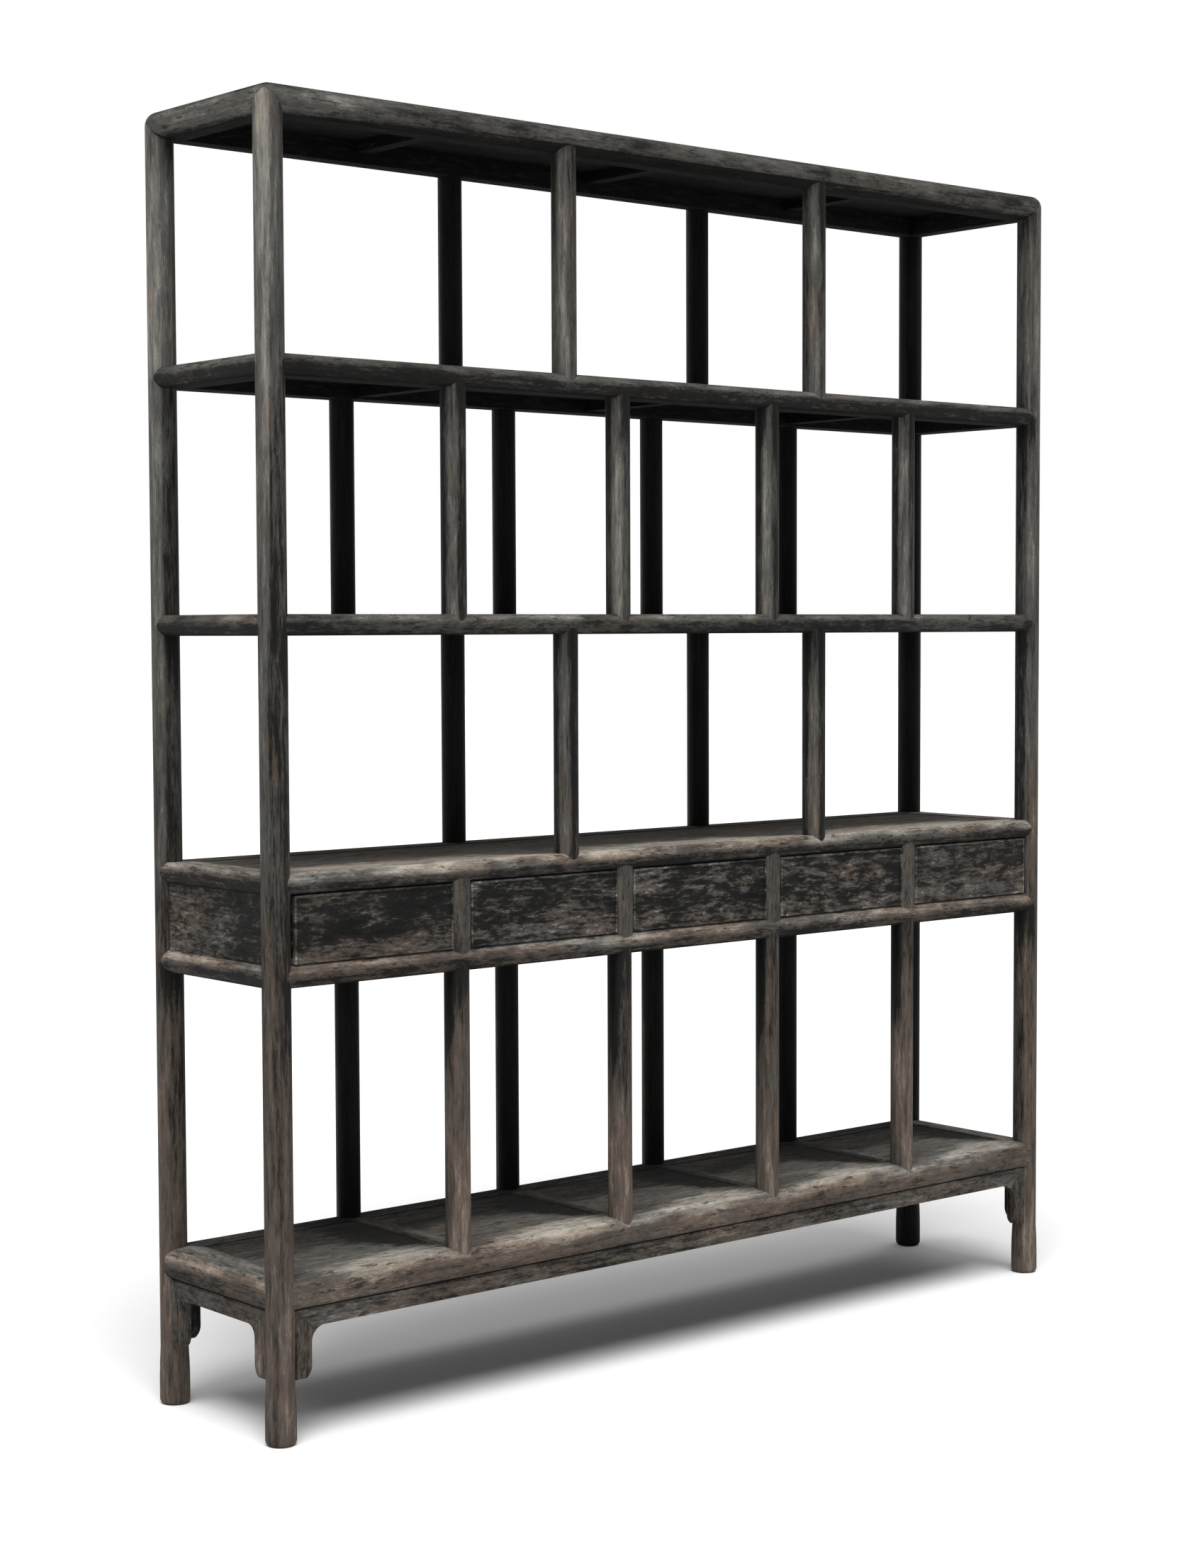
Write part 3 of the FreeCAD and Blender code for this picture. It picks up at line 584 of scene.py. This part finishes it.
def upright_tone(s, tone, shade):
    """The tone, darker by the painted shade below each level, and almost black with painted shade
    where an upright faces inwards."""
    shaded = s.total((tone, 1.0), (shade_under(s, UPRIGHT_SHADE_REACH), -shade))
    facing = s.add(outward(s, "y"), s.times(s.math("SIGN", s.y), -REAR_ROUND))
    return s.between(s.step(facing, *UPRIGHT_INNER), UPRIGHT_DARK, shaded)


def upright_level(pale, dark, shade):
    """Tone of the uprights of the upper rows: pale in a stripe, a little to the left of the front,
    partly worn and partly a painted highlight, and darker towards the top with painted shade."""
    def level(s):
        facing = s.total((outward(s, "y"), HALFWAY), (s.nx, -HALFWAY))
        return upright_tone(s, s.between(s.step(facing, *UPRIGHT_WEAR_AND_HIGHLIGHT), dark, pale), shade)
    return level


def low_upright_level(s):
    """Tone of the uprights under the drawers: black beside the front near the drawers with the
    painted shadow of the drawers above, and pale at the foot."""
    side = s.between(s.step(s.z, *LOW_SIDE_SHADOW_HEIGHTS), *LOW_SIDE_SHADOW_TONES)
    front = s.between(s.step(s.z, *LOW_FRONT_HEIGHTS), *LOW_FRONT_TONES)
    tone = s.between(s.step(outward(s, "y"), *LOW_FRONT), side, front)
    return upright_tone(s, tone, LOW_UPRIGHT_SHADE)


def flat_level(tone, under=PIECE_UNDER):
    """Tone that is even but for the underside, which is darker with painted shade."""
    def level(s):
        return s.between(s.step(s.nz, *UNDER), tone, under)
    return level


def board_level(upper):
    """Tone of a panel: worn above, black underneath with painted shade."""
    def level(s):
        return s.between(s.step(s.nz, *UNDER), upper(s), PANEL_UNDER)
    return level


def side_level(s):
    """Tone of the end panels beside the drawers: darker towards the top with painted shade under the
    rail above.
    """
    return s.between(s.step(s.z, *SIDE_SHADE_HEIGHTS), *SIDE_SHADE_TONES)


def spandrel(axis, inner):
    """Share that is 1 on the spandrels of an apron and 0 on the board between their mitres."""
    def share(s):
        place = s.absolute(s.x if axis == "x" else s.y)
        past = s.less(s.less(place, inner), s.less(s.z, APRON_LOW))
        return s.step(past, -MITRE_EDGE, MITRE_EDGE)
    return share


def apron_level(share, tone):
    """Tone of an apron, with its spandrels darker."""
    def level(s):
        return s.between(share(s), tone, SPANDREL_TONE)
    return level


def extent(name, axis):
    """Lowest and highest place of a node's piece along the axis."""
    piece = nodes[name]
    places = [(piece.matrix_world @ vertex.co)[axis] for vertex in piece.data.vertices]
    return min(places), max(places)


def drawer_level(front, tone):
    """Tone of a drawer front: black above, flaked and pale below, with a light line round it."""
    left, right = extent(front, 0)
    low, high = extent(front, 2)

    def level(s):
        height = s.times(s.less(s.z, low), 1 / (high - low))
        base = s.between(s.step(height, *DRAWER_LOW), tone, tone + DRAWER_LOW_ADDS)
        sides = s.math("MINIMUM", s.less(s.x, left), s.less(right, s.x))
        edge = s.math("MINIMUM", sides, s.less(high, s.z))
        return s.add(base, s.times(s.step(edge, *DRAWER_LINE), DRAWER_LINE_ADDS))
    return level


def ease(piece):
    """Rounds the sharp edges of a piece a little."""
    mesh = piece.data
    if "custom_normal" in mesh.attributes:
        mesh.attributes.remove(mesh.attributes["custom_normal"])
    mesh.shade_smooth()
    weld = piece.modifiers.new("join", "WELD")
    weld.merge_threshold = WELD_REACH
    bevel = piece.modifiers.new("eased_edges", "BEVEL")
    bevel.width = EASED_WIDTH
    bevel.segments = EASED_SEGMENTS
    bevel.limit_method = "ANGLE"
    bevel.angle_limit = EASED_FROM
    bevel.harden_normals = True


def dress(names, material):
    """Gives the material to the nodes and eases their sharp edges."""
    for name in names:
        piece = nodes[name]
        piece.data.materials.clear()
        piece.data.materials.append(material)
        ease(piece)


def dress_round(name, level):
    """Dresses the posts and uprights, whose wear is drawn out in long lines."""
    dress([name], lacquer(name + "_lacquer", "z", level, post_warmth, 0.65, drawn=2.5))


def dress_level(name, wear, front, ends, left=0.0, warmth=even_warmth(-0.12), contrast=0.55):
    """Dresses the rails of a level and what they hold. Wear is the bay width above, the reach and
    tone of the pale front, partly wear and partly painted light, and the tone behind it, or None for
    the lowest level. Front and ends are the tones and the turn of the rails' noses, whose lower part
    is darker with painted shade, and left is what the left end adds."""
    def upper(s):
        return front_wear_light_and_shadow(s, *wear) if wear else deck_wear_light_and_shadow(s)

    dress([name + "_rail_front", name + "_rail_rear"],
          lacquer(name + "_rail_lacquer", "x", rail_level("x", upper, left, *front),
                  warmth, contrast))
    dress([name + "_rails_ends"],
          lacquer(name + "_end_lacquer", "y", rail_level("y", upper, left, *ends),
                  warmth, contrast))
    board = board_level(upper)
    if wear:
        battens = flat_level(BATTEN_DARK, BATTEN_DARK)
        dress([name + "_panel"], lacquer(name + "_panel_lacquer", "x", board, warmth, 0.5, 0.4))
        dress([name + "_battens"],
              lacquer(name + "_batten_lacquer", "y", battens, contrast=0.3, dull=True))
    else:
        dress([name + "_panels"], lacquer(name + "_panel_lacquer", "x", board, warmth, 0.4, 0.4))
        dress([name + "_cross_rails"],
              lacquer(name + "_cross_lacquer", "y", board, warmth, 0.4, 0.4))


def dress_aprons(names, material, axis, inner, tone, warmth):
    """Dresses a pair of aprons, with the grain upright on their spandrels."""
    share = spandrel(axis, inner)
    dress(names, lacquer(material, axis, apron_level(share, tone), even_warmth(warmth),
                         turned=share))


def dress_drawer(index, tone, contrast):
    """Dresses a drawer: its flaked front, and its box of bare elm."""
    drawer = "drawer_%d" % index
    front = drawer + "_front"
    dress([front], lacquer(drawer + "_lacquer", "x", drawer_level(front, tone),
                           even_warmth(-0.02), contrast, 0.3, index * DRAWER_SHIFT,
                           chips=0.3, coarse=1.2))
    dress([drawer + "_box"], elm(drawer + "_elm", "y"))


def make_camera():
    data = bpy.data.cameras.new("camera")
    data.sensor_width = SENSOR
    data.sensor_fit = "AUTO"
    data.lens = FOCAL_PIXELS / PHOTO_LONG_SIDE * SENSOR
    camera = bpy.data.objects.new("camera", data)
    bpy.context.scene.collection.objects.link(camera)
    ahead = Vector((math.sin(CAMERA_YAW) * math.cos(CAMERA_PITCH),
                    math.cos(CAMERA_YAW) * math.cos(CAMERA_PITCH), math.sin(CAMERA_PITCH)))
    right = Vector((math.cos(CAMERA_YAW), -math.sin(CAMERA_YAW), 0.0))
    up = right.cross(ahead)
    rolled_right = math.cos(CAMERA_ROLL) * right + math.sin(CAMERA_ROLL) * up
    rolled_up = math.cos(CAMERA_ROLL) * up - math.sin(CAMERA_ROLL) * right
    turn = Matrix((rolled_right, rolled_up, -ahead)).transposed()
    camera.matrix_world = Matrix.Translation(CAMERA_PLACE) @ turn.to_4x4()
    bpy.context.scene.camera = camera


def make_lamp(name, elevation, azimuth, spread, strength):
    data = bpy.data.lights.new(name, "SUN")
    data.energy = strength
    data.angle = math.radians(spread)
    lamp = bpy.data.objects.new(name, data)
    bpy.context.scene.collection.objects.link(lamp)
    up = math.radians(elevation)
    side = math.radians(azimuth)
    towards = Vector((math.sin(side) * math.cos(up), -math.cos(side) * math.cos(up),
                      math.sin(up)))
    lamp.rotation_euler = towards.to_track_quat("Z", "Y").to_euler()


def make_world():
    """Grey surround that is brighter overhead, and plain white where it shows or reflects."""
    world = bpy.data.worlds.new("studio")
    bpy.context.scene.world = world
    world.use_nodes = True
    tree = world.node_tree
    tree.nodes.clear()
    coords = tree.nodes.new("ShaderNodeTexCoord")
    split = tree.nodes.new("ShaderNodeSeparateXYZ")
    tree.links.new(coords.outputs["Generated"], split.inputs[0])
    height = tree.nodes.new("ShaderNodeMapRange")
    height.inputs["To Min"].default_value = SKY_SIDE
    height.inputs["To Max"].default_value = SKY_TOP
    tree.links.new(split.outputs["Z"], height.inputs["Value"])
    path = tree.nodes.new("ShaderNodeLightPath")
    seen = path.outputs["Is Camera Ray"]
    for ray in ("Is Glossy Ray", "Is Transmission Ray"):
        either = tree.nodes.new("ShaderNodeMath")
        either.operation = "MAXIMUM"
        tree.links.new(seen, either.inputs[0])
        tree.links.new(path.outputs[ray], either.inputs[1])
        seen = either.outputs[0]
    choose = tree.nodes.new("ShaderNodeMix")
    tree.links.new(seen, choose.inputs["Factor"])
    tree.links.new(height.outputs[0], choose.inputs["A"])
    choose.inputs["B"].default_value = 1.0
    background = tree.nodes.new("ShaderNodeBackground")
    background.inputs["Color"].default_value = WHITE
    tree.links.new(choose.outputs[0], background.inputs["Strength"])
    output = tree.nodes.new("ShaderNodeOutputWorld")
    tree.links.new(background.outputs[0], output.inputs["Surface"])


def make_floor():
    """Pale floor, which shows plain white."""
    mesh = bpy.data.meshes.new("floor")
    corners = [(-FLOOR_REACH, -FLOOR_REACH, 0.0), (FLOOR_REACH, -FLOOR_REACH, 0.0),
               (FLOOR_REACH, FLOOR_REACH, 0.0), (-FLOOR_REACH, FLOOR_REACH, 0.0)]
    mesh.from_pydata(corners, [], [(0, 1, 2, 3)])
    floor = bpy.data.objects.new("floor", mesh)
    bpy.context.scene.collection.objects.link(floor)
    material = bpy.data.materials.new("floor_paper")
    material.use_nodes = True
    tree = material.node_tree
    tree.nodes.clear()
    path = tree.nodes.new("ShaderNodeLightPath")
    paint = tree.nodes.new("ShaderNodeMix")
    paint.data_type = "RGBA"
    tree.links.new(path.outputs["Is Camera Ray"], paint.inputs["Factor"])
    paint.inputs[6].default_value = FLOOR_GREY
    paint.inputs[7].default_value = WHITE
    shader = tree.nodes.new("ShaderNodeBsdfDiffuse")
    tree.links.new(paint.outputs[2], shader.inputs["Color"])
    output = tree.nodes.new("ShaderNodeOutputMaterial")
    tree.links.new(shader.outputs[0], output.inputs["Surface"])
    mesh.materials.append(material)


# Undersides of the levels that shade the posts and uprights
undersides = [extent(level + "_rail_front", 2)[0]
              for level in ("top", "shelf_1", "shelf_2", "drawer_floor")]

# Posts: axis and sign of the pale side, and at the heights of POST_STEPS the tones on it, the
# tones beside it and where it ends
dress_round("post_front_left", post_level(
    "x", -1.0, (0.46, 0.5, 0.38, 0.4, 0.57, 0.54, 0.62, 0.7, 0.74),
    (0.56, 0.5, 0.34, 0.36, 0.47, 0.36, 0.35, 0.51, 0.62),
    (0.6, 0.6, 0.65, 0.7, 0.8, 0.8, 0.62, 0.54, 0.46)))
dress_round("post_front_right", post_level(
    "y", -1.0, (0.64, 0.55, 0.49, 0.54, 0.54, 0.53, 0.57, 0.56, 0.59),
    (0.6, 0.5, 0.4, 0.42, 0.42, 0.4, 0.43, 0.52, 0.6),
    (0.6,) * len(POST_STEPS)))
dress_round("post_rear_left", post_level(
    "x", -1.0, (0.6, 0.56, 0.46, 0.38, 0.56, 0.6, 0.65, 0.75, 0.72),
    (0.55, 0.51, 0.42, 0.36, 0.43, 0.37, 0.48, 0.64, 0.62),
    (0.6, 0.6, 0.6, 0.6, 0.6, 0.6, 0.6, 0.55, 0.5)))
# The rear right post is darker than the lacquer with painted shade beside its outer side
dress_round("post_rear_right", post_level(
    "x", 1.0, (0.5, 0.5, 0.5, 0.5, 0.5, 0.52, 0.54, 0.57, 0.6),
    (0.2, 0.08, 0.08, 0.08, 0.08, 0.08, 0.08, 0.09, 0.1),
    (0.6,) * len(POST_STEPS)))

# Uprights: tone of the stripe, worn and with a painted highlight, tone beside it, and the painted
# shade towards the top
dress_round("row_1_uprights", upright_level(0.67, 0.48, 0.1))
dress_round("row_2_uprights", upright_level(0.65, 0.41, 0.2))
dress_round("row_3_uprights", upright_level(0.61, 0.38, 0.19))
dress_round("row_4_uprights", low_upright_level)

dress_level("top", (WIDE_BAY, 0.05, 0.5, 0.36), (0.46, 0.44, 0.0), (0.42, 0.44, 0.0, 0.45),
            left=0.17)
dress_level("shelf_1", (WIDE_BAY, 0.05, 0.55, 0.36), (0.57, 0.35, 0.35), (0.62, 0.33, 0.3, 0.5))
dress_level("shelf_2", (NARROW_BAY, 0.05, 0.55, 0.36), (0.62, 0.4, 0.3), (0.6, 0.33, 0.1, 0.5))
dress_level("case_top", (WIDE_BAY, 0.115, 0.82, 0.5), (0.72, 0.38, 0.05),
            (0.74, 0.3, 0.35, 0.74), warmth=even_warmth(0.02), contrast=0.7)
dress_level("drawer_floor", (NARROW_BAY, 0.05, 0.6, 0.3), (0.64, 0.42, 0.05),
            (0.8, 0.36, 0.2, 0.62), warmth=even_warmth(0.06), contrast=0.7)
dress_level("base", None, (0.72, 0.56), (0.72, 0.45, None, 0.64), warmth=base_warmth)

dress(["drawer_stiles"], lacquer("stile_lacquer", "z", flat_level(0.5), even_warmth(-0.04), 0.5))
dress(["back_stiles"], lacquer("back_stile_lacquer", "z", flat_level(0.36)))
dress(["case_side_left", "case_side_right"],
      lacquer("side_lacquer", "y", side_level, contrast=1.4, streak=0.5))
dress(["case_back_panels"], lacquer("back_lacquer", "x", flat_level(0.36), streak=0.5))
dress_aprons(["apron_front", "apron_rear"], "apron_lacquer", "x", SPANDREL_X, 0.52, 0.08)
dress_aprons(["apron_left", "apron_right"], "end_apron_lacquer", "y", SPANDREL_Y, 0.47, 0.04)

# Drawers: number, tone of the front, and contrast of its flakes
dress_drawer(1, 0.33, 0.8)
dress_drawer(2, 0.36, 1.15)
dress_drawer(3, 0.33, 1.25)
dress_drawer(4, 0.35, 1.25)
dress_drawer(5, 0.39, 0.9)
dress(["drawer_guides"], elm("guide_elm", "y"))

make_camera()
for name, values in LAMPS.items():
    make_lamp(name, *values)
make_world()
make_floor()
bpy.context.scene.view_settings.view_transform = "Standard"
